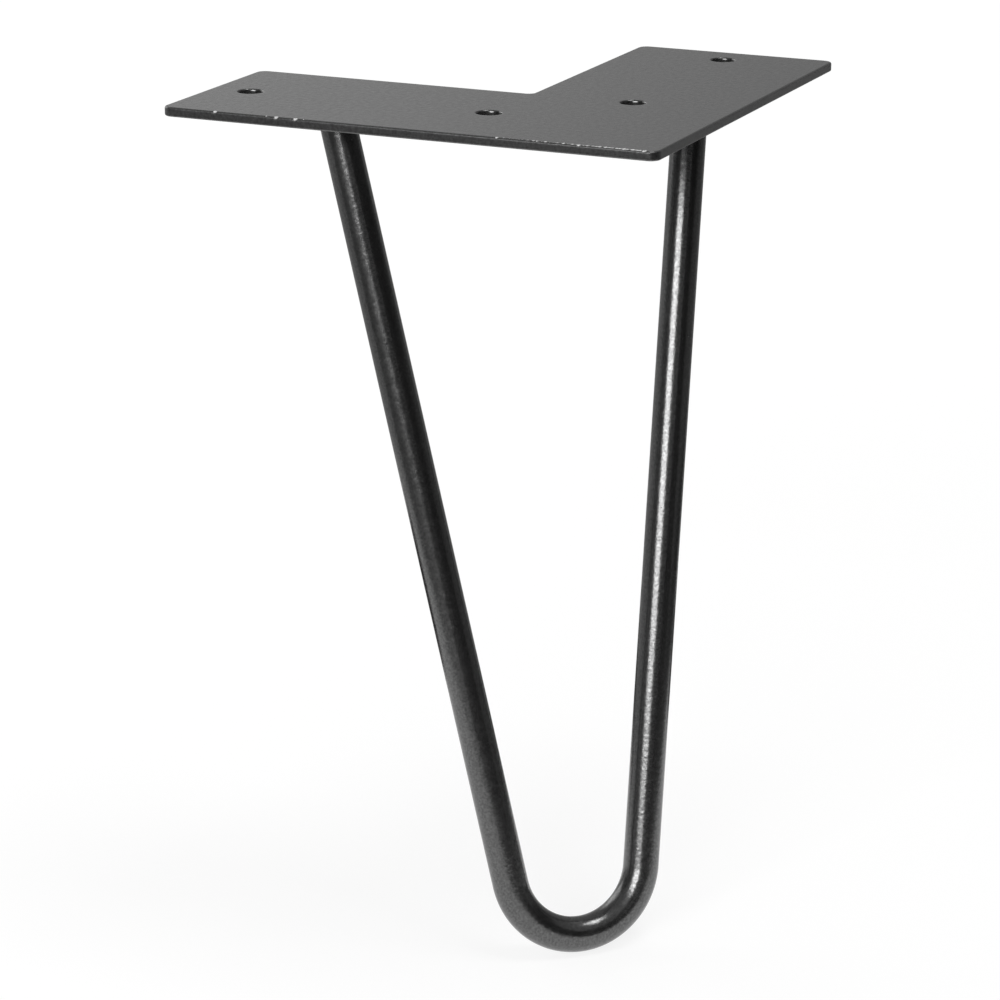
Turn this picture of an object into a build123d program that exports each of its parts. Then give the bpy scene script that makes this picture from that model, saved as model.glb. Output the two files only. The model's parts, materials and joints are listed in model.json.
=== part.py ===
"""Hairpin table leg.

One round steel bar is bent into a hairpin, and both of its ends are welded under an L-shaped
sheet plate. Wood screws through the plate hold the leg to the underside of a table top.

Frame: the origin is on the plate's top face, where the centre lines of the two arms cross.
X runs out along one arm, Y along the other, and Z points up into the table top. The foot is
straight below the origin, so the hairpin leans in under the plate. The leg is its own mirror
image across the upright plane between the two arms.
"""

import os
from math import asin, atan2, cos, hypot, sin, sqrt

from build123d import *

# Plate, in millimetres. The thickness includes the powder coat on both faces.
ARM_LENGTH = 120.0
ARM_WIDTH = 50.0
PLATE_THICKNESS = 2.2
CORNER_RADIUS = 2.5
NOTCH_RADIUS = 1.6
EDGE_RADIUS = 0.45

# Screw holes, two on the centre line of each arm, with their rims deburred
HOLE_DIAMETER = 5.8
HOLE_SPACING = 60.0
HOLE_END_DISTANCE = 10.0
HOLE_RIM_CHAMFER = 0.35

# Hairpin rod. The diameter includes the powder coat, and the bend radius is that of the centre line.
LEG_HEIGHT = 200.0
ROD_DIAMETER = 8.5
ROD_END_DISTANCE = 31.5
BEND_RADIUS = 17.0

# Fillet welds around the rod's two ends, measured along the plate and along the rod
WELD_LEG = 3.0

# Places that follow from the sizes above, measured along an arm from where the centre lines cross
ARM_END = ARM_LENGTH - ARM_WIDTH / 2
OUTER_HOLE = ARM_END - HOLE_END_DISTANCE
INNER_HOLE = OUTER_HOLE - HOLE_SPACING
ROD_STATION = ARM_END - ROD_END_DISTANCE
ROD_RADIUS = ROD_DIAMETER / 2
UNDERSIDE = Plane.XY.offset(-PLATE_THICKNESS)


def plate_outline():
    """The L, with its outer corners and the corner of its notch rounded."""
    half = ARM_WIDTH / 2
    corner = (-half, -half)
    x_arm = Pos(*corner) * Rectangle(ARM_LENGTH, ARM_WIDTH, align=Align.MIN)
    y_arm = Pos(*corner) * Rectangle(ARM_WIDTH, ARM_LENGTH, align=Align.MIN)
    outline = x_arm + y_arm
    notch = outline.vertices().sort_by_distance((half, half))[0]
    outline = fillet(notch, NOTCH_RADIUS)
    outer_corners = outline.vertices().filter_by(lambda v: hypot(v.X - half, v.Y - half) > 2 * NOTCH_RADIUS)
    return fillet(outer_corners, CORNER_RADIUS)


def make_plate():
    """Sheet plate with its top face at the origin's height, rolled edges and deburred screw holes."""
    plate = extrude(plate_outline(), -PLATE_THICKNESS)
    borders = plate.faces().sort_by(Axis.Z)[0].edges() + plate.faces().sort_by(Axis.Z)[-1].edges()
    plate = fillet(borders, EDGE_RADIUS)
    drill = Pos(Z=-PLATE_THICKNESS / 2) * Cylinder(HOLE_DIAMETER / 2, 2 * PLATE_THICKNESS)
    for station in (INNER_HOLE, OUTER_HOLE):
        plate -= Pos(X=station) * drill
        plate -= Pos(Y=station) * drill
    hole_rims = plate.edges().filter_by(GeomType.CIRCLE).filter_by(lambda edge: edge.is_closed)
    return chamfer(hole_rims, HOLE_RIM_CHAMFER)


def hairpin_plane():
    """The leaning plane of the hairpin: origin at the foot, X across the two rods, Y up between them."""
    foot = Vector(0, 0, ROD_RADIUS - LEG_HEIGHT)
    between_ends = Vector(ROD_STATION / 2, ROD_STATION / 2, -PLATE_THICKNESS)
    across = Vector(1, -1, 0)
    up = between_ends - foot
    return Plane(origin=foot, x_dir=across, z_dir=across.cross(up)), up.length


def hairpin_path():
    """Centre line of the bar: two straight rods that run tangent into the bend at the foot.

    The rods reach the plate's underside at their stations, and run on past it by a diameter, so
    that their ends can be cut flush with the plate.
    """
    plane, height = hairpin_plane()
    half_spread = ROD_STATION / sqrt(2)
    rise = height - BEND_RADIUS
    splay = atan2(half_spread, rise) - asin(BEND_RADIUS / hypot(half_spread, rise))
    tangent = Vector(BEND_RADIUS * cos(splay), BEND_RADIUS - BEND_RADIUS * sin(splay))
    top = Vector(half_spread, height) + ROD_DIAMETER * Vector(sin(splay), cos(splay))
    right_rod = Line(top, tangent)
    bend = ThreePointArc(tangent, (0, 0), (-tangent.X, tangent.Y))
    left_rod = Line((-tangent.X, tangent.Y), (-top.X, top.Y))
    return plane * Wire([right_rod, bend, left_rod])


def make_rod():
    """The bent bar, with both ends cut flush to the plate's underside."""
    path = hairpin_path()
    section = Plane(origin=path @ 0, z_dir=path % 0) * Circle(ROD_RADIUS)
    bar = sweep(section, path)
    return split(bar, bisect_by=UNDERSIDE, keep=Keep.BOTTOM)


def make_welds(plate, rod):
    """The two fillet welds, as what a chamfer adds in the corner between the rod's ends and the plate."""
    joined = plate + rod
    corners = joined.edges().filter_by(GeomType.ELLIPSE)
    welded = chamfer(corners, WELD_LEG)
    beads = (welded - plate - rod).solids().sort_by(Axis.X)
    return {"weld_bead_x_arm": beads[-1], "weld_bead_y_arm": beads[0]}


def main():
    plate = make_plate()
    rod = make_rod()
    nodes = {"mounting_plate": plate, "hairpin_rod": rod, **make_welds(plate, rod)}
    os.makedirs("parts", exist_ok=True)
    for name, shape in nodes.items():
        shape.label = name
        export_step(shape, f"parts/{name}.step")


main()
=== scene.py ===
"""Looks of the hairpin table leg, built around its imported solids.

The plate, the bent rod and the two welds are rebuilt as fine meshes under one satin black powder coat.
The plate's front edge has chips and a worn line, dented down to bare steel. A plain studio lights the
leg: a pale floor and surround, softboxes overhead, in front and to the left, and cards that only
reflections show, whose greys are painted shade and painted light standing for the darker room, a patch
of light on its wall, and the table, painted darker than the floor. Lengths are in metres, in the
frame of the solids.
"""

import json
from math import asin, atan2, cos, hypot, pi, radians, sin, sqrt

import bmesh
import bpy
from mathutils import Matrix, Vector, noise


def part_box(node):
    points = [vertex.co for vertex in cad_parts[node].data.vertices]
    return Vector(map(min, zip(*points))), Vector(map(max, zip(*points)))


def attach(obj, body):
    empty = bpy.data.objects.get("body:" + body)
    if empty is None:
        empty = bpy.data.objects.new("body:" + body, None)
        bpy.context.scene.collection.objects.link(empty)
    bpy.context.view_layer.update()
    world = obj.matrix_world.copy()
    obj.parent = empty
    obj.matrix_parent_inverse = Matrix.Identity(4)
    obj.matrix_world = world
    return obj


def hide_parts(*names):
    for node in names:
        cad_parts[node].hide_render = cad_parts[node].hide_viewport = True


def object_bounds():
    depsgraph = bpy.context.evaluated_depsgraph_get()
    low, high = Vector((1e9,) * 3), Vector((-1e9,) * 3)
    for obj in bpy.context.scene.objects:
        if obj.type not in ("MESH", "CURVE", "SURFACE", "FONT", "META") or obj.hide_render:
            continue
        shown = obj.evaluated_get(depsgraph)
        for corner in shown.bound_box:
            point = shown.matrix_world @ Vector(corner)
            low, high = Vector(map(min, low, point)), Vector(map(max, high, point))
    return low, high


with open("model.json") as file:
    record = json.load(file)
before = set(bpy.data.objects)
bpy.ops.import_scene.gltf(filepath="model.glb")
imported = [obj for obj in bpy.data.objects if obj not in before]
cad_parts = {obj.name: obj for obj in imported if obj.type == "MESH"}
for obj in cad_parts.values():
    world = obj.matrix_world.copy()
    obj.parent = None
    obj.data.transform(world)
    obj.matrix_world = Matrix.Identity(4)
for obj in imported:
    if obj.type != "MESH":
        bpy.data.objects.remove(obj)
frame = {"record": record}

MM = 0.001
BODY = "root"
CAD_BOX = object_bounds()
FLOOR_HEIGHT = CAD_BOX[0].z

# Plate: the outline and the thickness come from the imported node, the holes from the record's mounts
PLATE_LOW, PLATE_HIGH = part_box("mounting_plate")
HALF_WIDTH = -PLATE_LOW.x
ARM_END = PLATE_HIGH.x
UNDERSIDE = PLATE_LOW.z
MOUNTS = {mount["name"]: mount for mount in frame["record"]["mounts"]}
CORNER_RADIUS = 2.5 * MM
NOTCH_RADIUS = 1.6 * MM
EDGE_RADIUS = 0.45 * MM
HOLE_RIM_WIDTH = 0.32 * MM
HOLE_RIM_DEPTH = 0.6 * MM
HOLE_COLLARS = (1.2 * MM, 0.5 * MM)
OUTLINE_STEP = 0.5 * MM
WORN_STEP = 0.12 * MM
CORNER_STEPS = 12
ROUNDING_STEPS = 6
WALL_STEPS = 4
FLAT_INSETS = (2.2 * MM, 1.6 * MM, 1.2 * MM, 0.9 * MM, 0.65 * MM)
HOLE_STEPS = 96
RIM_STEPS = 10

# Wear on the plate's front edge, along a line near the top of its rolled corner. Chips are (place along
# the Y arm, radius), and their wear fades out at CHIP_REACH radii. The worn line grows stronger towards
# the plate's corner and is broken up by a noise. On the flat above the line, distance counts only in part.
COAT_DEPTH = 0.08 * MM
WORN_LINE_TURN = radians(80)
CHIPS = (
    (81.3 * MM, 0.46 * MM),
    (68.5 * MM, 0.2 * MM),
    (66.0 * MM, 0.5 * MM),
    (61.25 * MM, 0.5 * MM),
    (59.3 * MM, 0.16 * MM),
    (12.5 * MM, 0.34 * MM),
    (3.0 * MM, 0.22 * MM),
    (-6.8 * MM, 0.4 * MM),
    (-21.8 * MM, 0.36 * MM),
)
CHIP_REACH = 1.5
WORN_FROM = 15 * MM
WORN_TO = -22.5 * MM
WORN_START = 0.35
WORN_GROWTH = 0.72
WORN_BREAKS = 0.8
WORN_GRAIN = 0.7 * MM
WORN_REACH = 0.27 * MM
WORN_FLAT_SHARE = 0.3

# Rod, with its sizes as in the part's source. Its bend has finer steps than its straight runs.
ROD_RADIUS = 4.25 * MM
ROD_STATION = 63.5 * MM
BEND_RADIUS = 17 * MM
ROD_STEPS_AROUND = 96
ROD_STEP = 1.5 * MM
BEND_FINENESS = 2

# Welds, with the leg as in the part's source. The ripples bow across the bead, and a noise on a circle,
# which closes round the ring, moves the ripples, the bulge and the leg.
WELD_LEG = 3 * MM
WELD_BULGE = 0.35 * MM
WELD_RIPPLES = 21
RIPPLE_HEIGHT = 0.16 * MM
RIPPLE_BOW = 0.45
RIPPLE_WANDER = 0.12
WANDER_HEIGHT = 0.15 * MM
WANDER_REACH = 2.34
WANDER_ACROSS = 2.0
LEG_WANDER = 0.08
LEG_NOISE_PLACE = 5.0
WELD_STEPS_AROUND = 420
WELD_STEPS_ACROSS = 14

# Coat. Pairs of gloss, roughness and grey are the ends between which a fine noise moves them. A span is
# the range of a noise, or of another share, that is stretched from end to end.
COAT_INDEX = 1.74
COAT_SPECULAR = (0.54, 0.97)
GLOSS_GRAIN = 0.55 * MM
COAT_ROUGHNESS = (0.19, 0.27)
ROUGHNESS_GRAIN = 1.3 * MM
ROUGHNESS_DETAIL = 3.0
NOISE_SPAN = (0.3, 0.7)
COAT_GREY = (0.005, 0.0105)
MOTTLE_GRAIN = 0.6 * MM
MOTTLE_SPAN = (0.35, 0.65)
HAZE_WEIGHT = 0.25
HAZE_ROUGHNESS = 0.42
SPECK_SPACING = 3.2 * MM
SPECK_BORDER = (0.03, 0.055)
SPECK_GREY = 0.07
WAVE_SIZE = 1.0 * MM
WAVE_DEPTH = 0.03 * MM
PEEL_SIZE = 0.5 * MM
PEEL_DEPTH = 0.006 * MM
BUMP_DETAIL = 1.0

# The coat is rougher along the cut edges, and where it is worn off, bare steel has a ragged border
EDGE_ROUGHNESS = 0.33
EDGE_SPAN = (0.3, 0.7)
RAGGED_GRAIN = 0.16 * MM
RAGGED_SHARE = 0.2
BARE_SPAN = (0.35, 0.8)
STEEL_GREY = 0.9
STEEL_ROUGHNESS = 0.7

# The Mix node's sockets for colours
MIX_SHARE = 0
MIX_FIRST = 6
MIX_SECOND = 7
MIX_RESULT = 2

# Floor, which cameras and reflections see lifted to white, and which fades out far away
FLOOR_RADIUS = 9.0
FLOOR_FADE_FROM = 6.0
FLOOR_SIDES = 96
FLOOR_GREY = 0.22
NEAR_LIFT = 0.81
FAR_LIFT = 0.89
LIFT_REACH = 1.4

# Curved cards round the leg: name, reaches and rises of the lower and the upper border from the foot,
# turns of the two ends in degrees from the direction of the camera, anticlockwise from above, and shade.
# The shades are painted shade of a dim and a dark room, and of a table darker than the floor near the
# foot, and painted light for a patch of spilled light on the room's wall.
CARDS = (
    ("dim_room", (3.6, 3.6), (0.0, 2.4), (-130, -42), 0.18),
    ("dark_room", (3.6, 3.6), (0.0, 2.4), (-42, 112), 0.04),
    ("painted_spill_light", (3.5, 3.5), (0.77, 1.25), (-3, 33), 0.75),
    ("table_back", (0.17, 0.285), (0.001, 0.003), (132, 250), 0.05),
    ("table_left", (0.32, 1.0), (0.0, 0.2), (-180, -75), 0.48),
    ("table_front", (0.32, 1.0), (0.0, 0.2), (-75, 0), 0.17),
    ("table_dark", (0.32, 1.0), (0.0, 0.2), (0, 74), 0.04),
    ("table_low", (0.26, 0.45), (0.0, 0.05), (74, 132), 0.04),
    ("table_dim", (0.45, 1.0), (0.0, 0.25), (74, 132), 0.17),
    ("table_right", (0.32, 1.0), (0.0, 0.2), (132, 180), 0.32),
)
CARD_STEPS = 44

# Surround: the levels near the horizon to the left and to the right of the leg, and higher up. The sides
# blend over a band in the middle, and the zenith's level comes in between two heights.
LEFT_LEVEL = 0.68
RIGHT_LEVEL = 0.27
ZENITH_LEVEL = 0.28
SIDE_BAND = (-0.15, 0.15)
ZENITH_BAND = (0.2, 0.5)

# Softboxes: name, place, width, height, radiance, and whether it stands upright or tilts to face the leg
SOFTBOXES = (
    ("overhead", (-0.01, -0.37, 1.56), 0.63, 0.63, 7.2, False),
    ("front", (-2.95, -0.005, 1.075), 1.76, 1.4, 8.5, True),
    ("left", (-0.33, 1.56, -0.06), 1.6, 0.26, 0.8, False),
    ("left_back", (0.51, 1.74, 0.65), 1.4, 1.2, 1.4, False),
)

# Camera, fitted to the photograph's outline of the leg
CAMERA_PLACE = Vector((-0.75077, -0.29934, 0.16028))
CAMERA_HEADING = radians(23.149)
CAMERA_DOWN = radians(17.083)
CAMERA_ROLL = radians(0.396)
CAMERA_LENS = 132.752
SENSOR_WIDTH = 36.0


# Meshes


def add_object(name, data):
    """A new object in the scene."""
    thing = bpy.data.objects.new(name, data)
    bpy.context.scene.collection.objects.link(thing)
    return thing


def mesh_object(bm, name, material):
    """A new object from a built mesh, in one material."""
    mesh = bpy.data.meshes.new(name)
    bm.to_mesh(mesh)
    bm.free()
    mesh.materials.append(material)
    return add_object(name, mesh)


def finish_piece(bm, name, node, material):
    """Turns a built mesh into a piece that stands for a node and wears the coat."""
    bmesh.ops.recalc_face_normals(bm, faces=bm.faces)
    piece = mesh_object(bm, name, material)
    piece.data.shade_smooth()
    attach(piece, BODY)
    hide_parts(node)


def join_loops(bm, loops):
    """Faces between each closed loop of points and the next one."""
    for upper, lower in zip(loops, loops[1:]):
        count = len(upper)
        for i in range(count):
            j = (i + 1) % count
            bm.faces.new((upper[i], lower[i], lower[j], upper[j]))


def loop_edges(bm, loop):
    """The edges round a closed loop of points."""
    ring = list(zip(loop, loop[1:] + loop[:1]))
    return [bm.edges.get(pair) or bm.edges.new(pair) for pair in ring]


def rounding(steps):
    """A quarter turn from a flat face into a wall, as shares of its radius (in from the wall, down)."""
    turns = [pi / 2 * k / steps for k in range(steps + 1)]
    return [(1 - sin(turn), 1 - cos(turn)) for turn in turns]


# Plate


def outline_stations():
    """Points round the plate's outline, each with its outward direction."""
    low, half, end = -HALF_WIDTH, HALF_WIDTH, ARM_END
    corners = [(low, low), (end, low), (end, half), (half, half), (half, end), (low, end)]
    corners = [Vector(corner) for corner in corners]
    radii = [CORNER_RADIUS] * len(corners)
    radii[corners.index(Vector((half, half)))] = NOTCH_RADIUS
    stations = []
    for i, corner in enumerate(corners):
        after = (i + 1) % len(corners)
        arriving = (corner - corners[i - 1]).normalized()
        leaving = (corners[after] - corner).normalized()
        turn = 1 if arriving.cross(leaving) > 0 else -1
        centre = corner + radii[i] * (leaving - arriving)
        first = Vector((arriving.y, -arriving.x))
        for k in range(CORNER_STEPS + 1):
            outward = Matrix.Rotation(turn * pi / 2 * k / CORNER_STEPS, 2) @ first
            stations.append((centre + turn * radii[i] * outward, outward))
        start = corner + radii[i] * leaving
        length = (corners[after] - corner).length - radii[i] - radii[after]
        step = WORN_STEP if corner.x == corners[after].x == low else OUTLINE_STEP
        count = round(length / step)
        for k in range(1, count):
            stations.append((start + leaving * length * k / count, outward))
    return stations


def plate_profile():
    """The plate's edge from the flat of the top round to the flat of the underside.

    Each entry is (distance in from the outline, height, outward share of the surface's direction).
    """
    flats = [(inset, 0.0, 0.0) for inset in FLAT_INSETS]
    turn = []
    for inward, down in rounding(ROUNDING_STEPS):
        turn.append((EDGE_RADIUS * inward, -EDGE_RADIUS * down, 1 - inward))
    wall_height = -UNDERSIDE - 2 * EDGE_RADIUS
    walls = [(0.0, -EDGE_RADIUS - wall_height * k / WALL_STEPS, 1.0) for k in range(1, WALL_STEPS)]
    upper = flats + turn
    lower = [(inset, UNDERSIDE - height, share) for inset, height, share in reversed(upper)]
    return upper + walls + lower


def wear_at(place):
    """How far the coat is worn off at a place on the plate's skin, from 0 to 1."""
    line_x = PLATE_LOW.x + EDGE_RADIUS * (1 - cos(WORN_LINE_TURN))
    line_z = EDGE_RADIUS * (sin(WORN_LINE_TURN) - 1)
    inward = place.x - line_x
    drop = line_z - place.z
    worn = 0.0
    for along, radius in CHIPS:
        worn = max(worn, CHIP_REACH - hypot(place.y - along, inward, drop) / radius)
    if WORN_TO < place.y < WORN_FROM:
        share = (WORN_FROM - place.y) / (WORN_FROM - WORN_TO)
        broken = noise.noise(Vector((0.0, place.y / WORN_GRAIN, 0.0)))
        from_line = hypot(inward * (WORN_FLAT_SHARE if inward > 0 else 1.0), drop)
        on_line = WORN_START + WORN_GROWTH * share + WORN_BREAKS * broken
        worn = max(worn, on_line - from_line / WORN_REACH)
    return min(max(worn, 0.0), 1.0)


def hole_places():
    """Centres and radii of the screw holes, from the record's bolt patterns."""
    places = []
    for axis, direction in (("x", Vector((1, 0, 0))), ("y", Vector((0, 1, 0)))):
        mount = MOUNTS[f"screw_holes_{axis}_arm"]
        half_spacing = mount["dims"][f"spacing_{axis}_mm"] * MM / 2
        for side in (-1, 1):
            centre = Vector(mount["pos_m"]) + side * half_spacing * direction
            places.append((centre, mount["dims"]["hole_r_mm"] * MM))
    return places


def hole_loops(bm, centre, radius):
    """A hole's wall with its rounded rims and flat collars, as loops from the top face to the underside."""
    upper = [(radius + HOLE_RIM_WIDTH + collar, 0.0) for collar in HOLE_COLLARS]
    for inward, down in rounding(RIM_STEPS):
        upper.append((radius + HOLE_RIM_WIDTH * inward, -HOLE_RIM_DEPTH * down))
    profile = upper + [(reach, UNDERSIDE - height) for reach, height in reversed(upper)]
    loops = []
    for reach, height in profile:
        loop = []
        for k in range(HOLE_STEPS):
            angle = 2 * pi * k / HOLE_STEPS
            place = (centre.x + reach * cos(angle), centre.y + reach * sin(angle), height)
            loop.append(bm.verts.new(place))
        loops.append(loop)
    join_loops(bm, loops)
    return loops


def build_plate(material):
    """The L plate, with rolled edges, rounded hole rims and the wear along its front edge."""
    bm = bmesh.new()
    worn_layer = bm.verts.layers.float.new("worn")
    edge_layer = bm.verts.layers.float.new("edge")
    stations = outline_stations()
    loops = []
    for inset, height, outward_share in plate_profile():
        loop = []
        upright = sqrt(1 - outward_share ** 2) * (1 if height > UNDERSIDE / 2 else -1)
        for point, outward in stations:
            skin = Vector((*(point - inset * outward), height))
            away = Vector((*(outward_share * outward), upright))
            worn = wear_at(skin)
            vertex = bm.verts.new(skin - COAT_DEPTH * worn * outward_share * away)
            vertex[worn_layer] = worn
            vertex[edge_layer] = outward_share
            loop.append(vertex)
        loops.append(loop)
    join_loops(bm, loops)
    holes = [hole_loops(bm, centre, radius) for centre, radius in hole_places()]
    for level in (0, -1):
        border = loop_edges(bm, loops[level])
        for hole in holes:
            border += loop_edges(bm, hole[level])
        bmesh.ops.triangle_fill(bm, edges=border, use_beauty=True, use_dissolve=False)
    finish_piece(bm, "coated_plate", "mounting_plate", material)


# Rod


def hairpin_frame():
    """The hairpin's leaning plane as (foot, across, up), and its height along the lean."""
    foot = Vector((0, 0, FLOOR_HEIGHT + ROD_RADIUS))
    between_ends = Vector((ROD_STATION / 2, ROD_STATION / 2, UNDERSIDE))
    across = Vector((1, -1, 0)).normalized()
    up = (between_ends - foot).normalized()
    return foot, across, up, (between_ends - foot).length


def hairpin_line():
    """Centre line of the bar from the X arm's end to the Y arm's, as (place, direction) pairs."""
    foot, across, up, height = hairpin_frame()
    half_spread = ROD_STATION / sqrt(2)
    rise = height - BEND_RADIUS
    splay = atan2(half_spread, rise) - asin(BEND_RADIUS / hypot(half_spread, rise))
    touch = Vector((BEND_RADIUS * cos(splay), BEND_RADIUS - BEND_RADIUS * sin(splay)))
    top = Vector((half_spread, height))
    flat = []
    rod_steps = round((top - touch).length / ROD_STEP)
    for k in range(rod_steps):
        flat.append((top.lerp(touch, k / rod_steps), -pi / 2 - splay))
    turn = pi - 2 * splay
    bend_steps = round(BEND_RADIUS * turn / ROD_STEP) * BEND_FINENESS
    for k in range(bend_steps + 1):
        angle = -splay - turn * k / bend_steps
        centre_to_line = Vector((cos(angle), sin(angle)))
        flat.append((Vector((0, BEND_RADIUS)) + BEND_RADIUS * centre_to_line, angle - pi / 2))
    far_touch = Vector((-touch.x, touch.y))
    far_top = Vector((-top.x, top.y))
    for k in range(1, rod_steps + 1):
        flat.append((far_touch.lerp(far_top, k / rod_steps), pi / 2 + splay))
    line = []
    for point, heading in flat:
        place = foot + point.x * across + point.y * up
        line.append((place, cos(heading) * across + sin(heading) * up))
    return line


def slide_to_underside(place, direction):
    """Where a line along the rod meets the plate's underside."""
    return place + direction * ((UNDERSIDE - place.z) / direction.z)


def ring_points(place, direction, steps):
    """Points round the rod at one place on its centre line."""
    _, across, up, _ = hairpin_frame()
    facing = across.cross(up)
    side = direction.cross(facing)
    angles = [2 * pi * k / steps for k in range(steps)]
    return [place + ROD_RADIUS * (cos(angle) * side + sin(angle) * facing) for angle in angles]


def build_rod(material):
    """The bent bar, with its ends cut flush to the plate's underside."""
    bm = bmesh.new()
    line = hairpin_line()
    loops = []
    for i, (place, direction) in enumerate(line):
        points = ring_points(place, direction, ROD_STEPS_AROUND)
        if i in (0, len(line) - 1):
            points = [slide_to_underside(point, direction) for point in points]
        loops.append([bm.verts.new(point) for point in points])
    join_loops(bm, loops)
    for end in (loops[0], loops[-1]):
        bm.faces.new(end)
    finish_piece(bm, "coated_rod", "hairpin_rod", material)


# Welds


def weld_skin(corner, along_plate, along_rod, turn_share, share):
    """A place on a bead's rippled skin: share 0 is its toe on the plate, share 1 its toe on the rod."""
    across_bead = 4 * share * (1 - share)
    out = (along_plate + along_rod).normalized()
    ripple = turn_share * WELD_RIPPLES + RIPPLE_BOW * across_bead
    ring = WANDER_REACH * Vector((cos(2 * pi * turn_share), sin(2 * pi * turn_share)))
    wander = noise.noise(Vector((*ring, WANDER_ACROSS * share)))
    crest = abs(cos(pi * (ripple + RIPPLE_WANDER * wander)))
    lift = across_bead * (WELD_BULGE + RIPPLE_HEIGHT * (crest - 0.5) + WANDER_HEIGHT * wander)
    leg = WELD_LEG * (1 + LEG_WANDER * noise.noise(Vector((*ring, LEG_NOISE_PLACE + share))))
    return corner + leg * ((1 - share) * along_plate + share * along_rod) + lift * out


def build_weld(name, node, place, downward, material):
    """One fillet weld all round a rod's end, with the ripples that its puddles left."""
    bm = bmesh.new()
    points = ring_points(place, downward, WELD_STEPS_AROUND)
    corners = [slide_to_underside(point, downward) for point in points]
    loops = [[] for _ in range(WELD_STEPS_ACROSS + 2)]
    for k, corner in enumerate(corners):
        ahead = corners[(k + 1) % WELD_STEPS_AROUND] - corners[k - 1]
        along_plate = ahead.cross(Vector((0, 0, 1))).normalized()
        if along_plate.dot(corner - place) < 0:
            along_plate.negate()
        for step in range(WELD_STEPS_ACROSS + 1):
            share = step / WELD_STEPS_ACROSS
            skin = weld_skin(corner, along_plate, downward, k / WELD_STEPS_AROUND, share)
            loops[step].append(bm.verts.new(skin))
        loops[-1].append(bm.verts.new(corner))
    join_loops(bm, loops + loops[:1])
    finish_piece(bm, name, node, material)


# Materials


def new_material(name):
    """A new material and its node tree."""
    material = bpy.data.materials.new(name)
    material.use_nodes = True
    return material, material.node_tree


def fill_sockets(tree, node, inputs):
    """Sets a node's sockets, each to a value or to the output of another node."""
    for socket, value in inputs.items():
        if isinstance(value, bpy.types.NodeSocket):
            tree.links.new(value, node.inputs[socket])
        else:
            node.inputs[socket].default_value = value


def add_node(tree, kind, inputs=None, **settings):
    """A shader node with its settings and sockets filled in."""
    node = tree.nodes.new(kind)
    for setting, value in settings.items():
        setattr(node, setting, value)
    fill_sockets(tree, node, inputs or {})
    return node


def grain(tree, place, size, detail=2.0):
    """Noise with patches about as large as size, in metres."""
    node = add_node(tree, "ShaderNodeTexNoise", {"Vector": place, "Scale": 1 / size, "Detail": detail})
    return node.outputs["Fac"]


def ramp(tree, value, low, high, to_low, to_high):
    """value taken from the range low to high into the range to_low to to_high, and held there."""
    inputs = {"Value": value, "From Min": low, "From Max": high, "To Min": to_low, "To Max": to_high}
    return add_node(tree, "ShaderNodeMapRange", inputs, clamp=True).outputs["Result"]


def larger(tree, first, second):
    """The larger of two values."""
    return add_node(tree, "ShaderNodeMath", {0: first, 1: second}, operation="MAXIMUM").outputs[0]


def mix_colour(tree, share, first, second):
    """first where share is 0, second where it is 1."""
    inputs = {MIX_SHARE: share, MIX_FIRST: first, MIX_SECOND: second}
    return add_node(tree, "ShaderNodeMix", inputs, data_type="RGBA").outputs[MIX_RESULT]


def grey(value):
    """A neutral colour."""
    return (value, value, value, 1.0)


def bump(tree, height, distance, normal=None):
    """A bump of a given depth, laid over another one if there is one."""
    inputs = {"Height": height, "Strength": 1.0, "Distance": distance}
    if normal:
        inputs["Normal"] = normal
    return add_node(tree, "ShaderNodeBump", inputs).outputs["Normal"]


def vertex_value(tree, layer):
    """A value that the plate's mesh keeps at its points, and that is 0 on the other pieces."""
    return add_node(tree, "ShaderNodeAttribute", attribute_name=layer).outputs["Fac"]


def worn_share(tree, place):
    """How bare the steel is, from the wear along the edge and a ragged border."""
    ragged = ramp(tree, grain(tree, place, RAGGED_GRAIN), *NOISE_SPAN, -RAGGED_SHARE, RAGGED_SHARE)
    inputs = {0: vertex_value(tree, "worn"), 1: ragged}
    total = add_node(tree, "ShaderNodeMath", inputs, operation="ADD").outputs[0]
    return ramp(tree, total, *BARE_SPAN, 0.0, 1.0)


def coat_colour(tree, place, bare):
    """Mottled black with a few specks of dust, and steel where the coat is worn off."""
    mottle = ramp(tree, grain(tree, place, MOTTLE_GRAIN), *MOTTLE_SPAN, 0.0, 1.0)
    coat = mix_colour(tree, mottle, grey(COAT_GREY[0]), grey(COAT_GREY[1]))
    cells = add_node(tree, "ShaderNodeTexVoronoi", {"Vector": place, "Scale": 1 / SPECK_SPACING})
    speck = ramp(tree, cells.outputs["Distance"], *SPECK_BORDER, 1.0, 0.0)
    dusty = mix_colour(tree, speck, coat, grey(SPECK_GREY))
    return mix_colour(tree, bare, dusty, grey(STEEL_GREY))


def coat_roughness(tree, place, bare):
    """The coat's uneven roughness, rougher along the cut edges and on bare steel."""
    smoothness = grain(tree, place, ROUGHNESS_GRAIN, ROUGHNESS_DETAIL)
    on_faces = ramp(tree, smoothness, *NOISE_SPAN, *COAT_ROUGHNESS)
    with_edges = ramp(tree, vertex_value(tree, "edge"), *EDGE_SPAN, on_faces, EDGE_ROUGHNESS)
    return ramp(tree, bare, 0.0, 1.0, with_edges, STEEL_ROUGHNESS)


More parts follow.
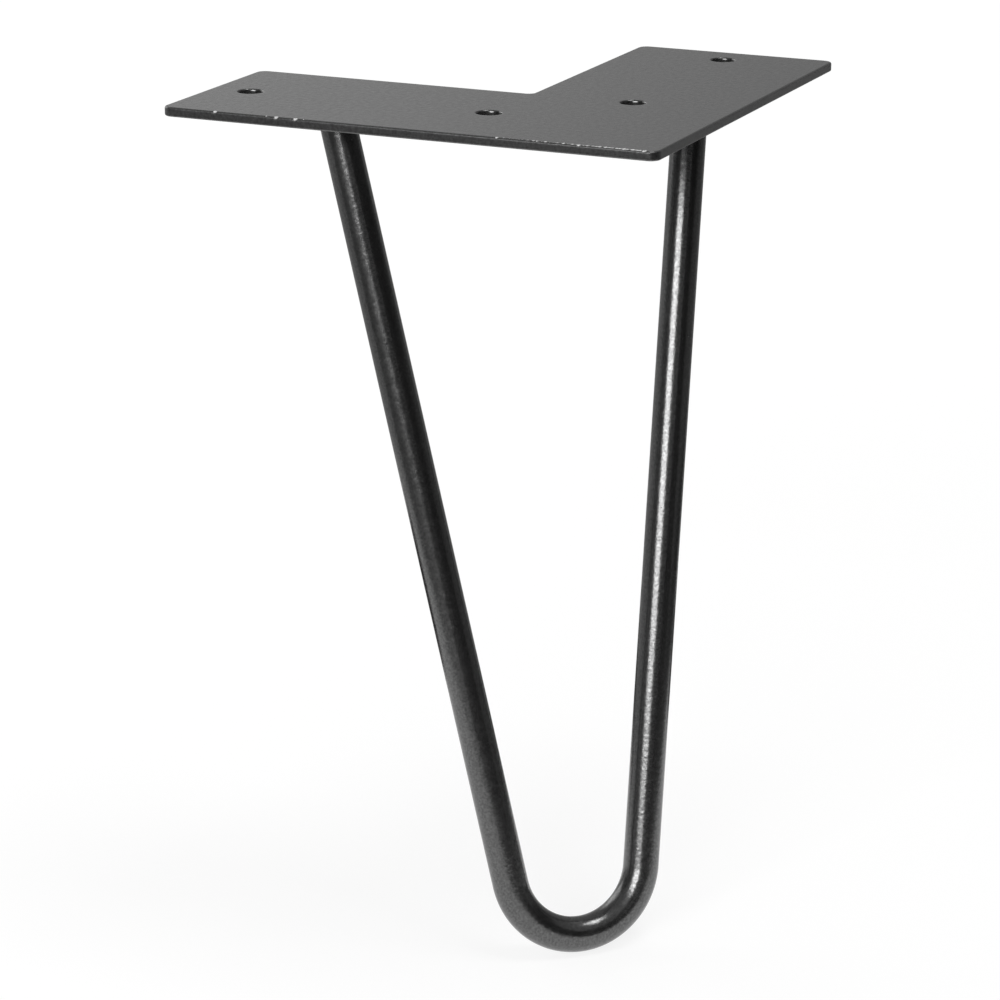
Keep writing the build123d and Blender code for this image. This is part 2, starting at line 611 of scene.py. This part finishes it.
def powder_coat():
    """Satin black coat with orange peel, and bare steel where it is worn off."""
    material, tree = new_material("powder_coat")
    place = add_node(tree, "ShaderNodeTexCoord").outputs["Object"]
    bare = worn_share(tree, place)
    waves = bump(tree, grain(tree, place, WAVE_SIZE, BUMP_DETAIL), WAVE_DEPTH)
    inputs = {
        "Base Color": coat_colour(tree, place, bare),
        "Metallic": bare,
        "Roughness": coat_roughness(tree, place, bare),
        "IOR": COAT_INDEX,
        "Specular IOR Level": ramp(tree, grain(tree, place, GLOSS_GRAIN), *NOISE_SPAN, *COAT_SPECULAR),
        "Coat Weight": HAZE_WEIGHT,
        "Coat Roughness": HAZE_ROUGHNESS,
        "Normal": bump(tree, grain(tree, place, PEEL_SIZE, BUMP_DETAIL), PEEL_DEPTH, waves),
    }
    fill_sockets(tree, tree.nodes["Principled BSDF"], inputs)
    return material


# Stage


def floor_material():
    """Pale floor that fades out far away and can be looked through from below."""
    material, tree = new_material("pale_floor")
    tree.nodes.clear()
    rays = add_node(tree, "ShaderNodeLightPath").outputs
    seen = larger(tree, rays["Is Camera Ray"], rays["Is Glossy Ray"])
    seen = larger(tree, seen, rays["Is Transmission Ray"])
    place = add_node(tree, "ShaderNodeTexCoord").outputs["Object"]
    reach = add_node(tree, "ShaderNodeVectorMath", {0: place}, operation="LENGTH").outputs["Value"]
    full_lift = ramp(tree, reach, 0.0, LIFT_REACH, NEAR_LIFT, FAR_LIFT)
    strength = ramp(tree, seen, 0.0, 1.0, 0.0, full_lift)
    diffuse = add_node(tree, "ShaderNodeBsdfDiffuse", {"Color": grey(FLOOR_GREY)}).outputs[0]
    lift = add_node(tree, "ShaderNodeEmission", {"Color": grey(1.0), "Strength": strength}).outputs[0]
    paper = add_node(tree, "ShaderNodeAddShader", {0: diffuse, 1: lift}).outputs[0]

    far = ramp(tree, reach, FLOOR_FADE_FROM, FLOOR_RADIUS, 0.0, 1.0)
    below = add_node(tree, "ShaderNodeNewGeometry").outputs["Backfacing"]
    clear = add_node(tree, "ShaderNodeBsdfTransparent").outputs[0]
    blend = add_node(tree, "ShaderNodeMixShader", {0: larger(tree, far, below), 1: paper, 2: clear})
    add_node(tree, "ShaderNodeOutputMaterial", {"Surface": blend.outputs[0]})
    return material


def build_floor():
    """A large round floor that the foot stands on."""
    bm = bmesh.new()
    bmesh.ops.create_circle(bm, cap_ends=True, segments=FLOOR_SIDES, radius=FLOOR_RADIUS)
    floor = mesh_object(bm, "floor", floor_material())
    floor.location.z = FLOOR_HEIGHT


def build_card(name, reaches, rises, turns, shade):
    """A curved matt card round the leg, seen only in reflections; its grey is painted shade, and for the
    spill card painted light.
    """
    material, tree = new_material(name)
    matt = {"Base Color": grey(shade), "Roughness": 1.0, "Specular IOR Level": 0.0}
    fill_sockets(tree, tree.nodes["Principled BSDF"], matt)
    towards_camera = atan2(CAMERA_PLACE.y, CAMERA_PLACE.x)
    bm = bmesh.new()
    lower, upper = [], []
    for k in range(CARD_STEPS + 1):
        angle = towards_camera + radians(turns[0] + (turns[1] - turns[0]) * k / CARD_STEPS)
        for border, reach, rise in zip((lower, upper), reaches, rises):
            place = (reach * cos(angle), reach * sin(angle), FLOOR_HEIGHT + rise)
            border.append(bm.verts.new(place))
    for i in range(CARD_STEPS):
        bm.faces.new((lower[i], lower[i + 1], upper[i + 1], upper[i]))
    card = mesh_object(bm, name, material)
    card.visible_camera = False
    card.visible_shadow = False
    card.visible_diffuse = False


def build_world():
    """A surround that is pale to the left of the leg, and darker to the right and overhead."""
    world = bpy.data.worlds.new("pale_surround")
    bpy.context.scene.world = world
    world.use_nodes = True
    tree = world.node_tree
    direction = add_node(tree, "ShaderNodeTexCoord").outputs["Generated"]
    height = add_node(tree, "ShaderNodeSeparateXYZ", {"Vector": direction}).outputs["Z"]
    left = (-sin(CAMERA_HEADING), cos(CAMERA_HEADING), 0.0)
    leftward = add_node(tree, "ShaderNodeVectorMath", {0: direction, 1: left}, operation="DOT_PRODUCT")
    horizon_level = ramp(tree, leftward.outputs["Value"], *SIDE_BAND, RIGHT_LEVEL, LEFT_LEVEL)
    level = ramp(tree, height, *ZENITH_BAND, horizon_level, ZENITH_LEVEL)
    fill_sockets(tree, tree.nodes["Background"], {"Color": grey(1.0), "Strength": level})


def build_softbox(name, place, width, height, radiance, upright):
    """A rectangular softbox of a given radiance, turned to the leg."""
    light = bpy.data.lights.new(name, "AREA")
    light.shape = "RECTANGLE"
    light.size = width
    light.size_y = height
    light.energy = radiance * pi * width * height
    lamp = add_object(name, light)
    lamp.location = place
    aim = (CAD_BOX[0] + CAD_BOX[1]) / 2
    if upright:
        aim.z = lamp.location.z
    lamp.rotation_euler = (aim - lamp.location).to_track_quat("-Z", "Y").to_euler()


def build_camera():
    """The photograph's camera."""
    data = bpy.data.cameras.new("camera")
    data.sensor_width = SENSOR_WIDTH
    data.lens = CAMERA_LENS
    camera = add_object("camera", data)
    turn = Matrix.Rotation(CAMERA_HEADING - pi / 2, 3, "Z")
    tilt = Matrix.Rotation(pi / 2 - CAMERA_DOWN, 3, "X")
    roll = Matrix.Rotation(CAMERA_ROLL, 3, "Z")
    camera.matrix_world = Matrix.Translation(CAMERA_PLACE) @ (turn @ tilt @ roll).to_4x4()
    bpy.context.scene.camera = camera


def main():
    """Builds the leg, and the studio round it."""
    bpy.context.scene.view_settings.view_transform = "Standard"
    coat = powder_coat()
    build_plate(coat)
    build_rod(coat)
    line = hairpin_line()
    build_weld("weld_x_arm", "weld_bead_x_arm", line[0][0], line[0][1], coat)
    build_weld("weld_y_arm", "weld_bead_y_arm", line[-1][0], -line[-1][1], coat)
    build_floor()
    for card in CARDS:
        build_card(*card)
    build_world()
    for softbox in SOFTBOXES:
        build_softbox(*softbox)
    build_camera()


main()
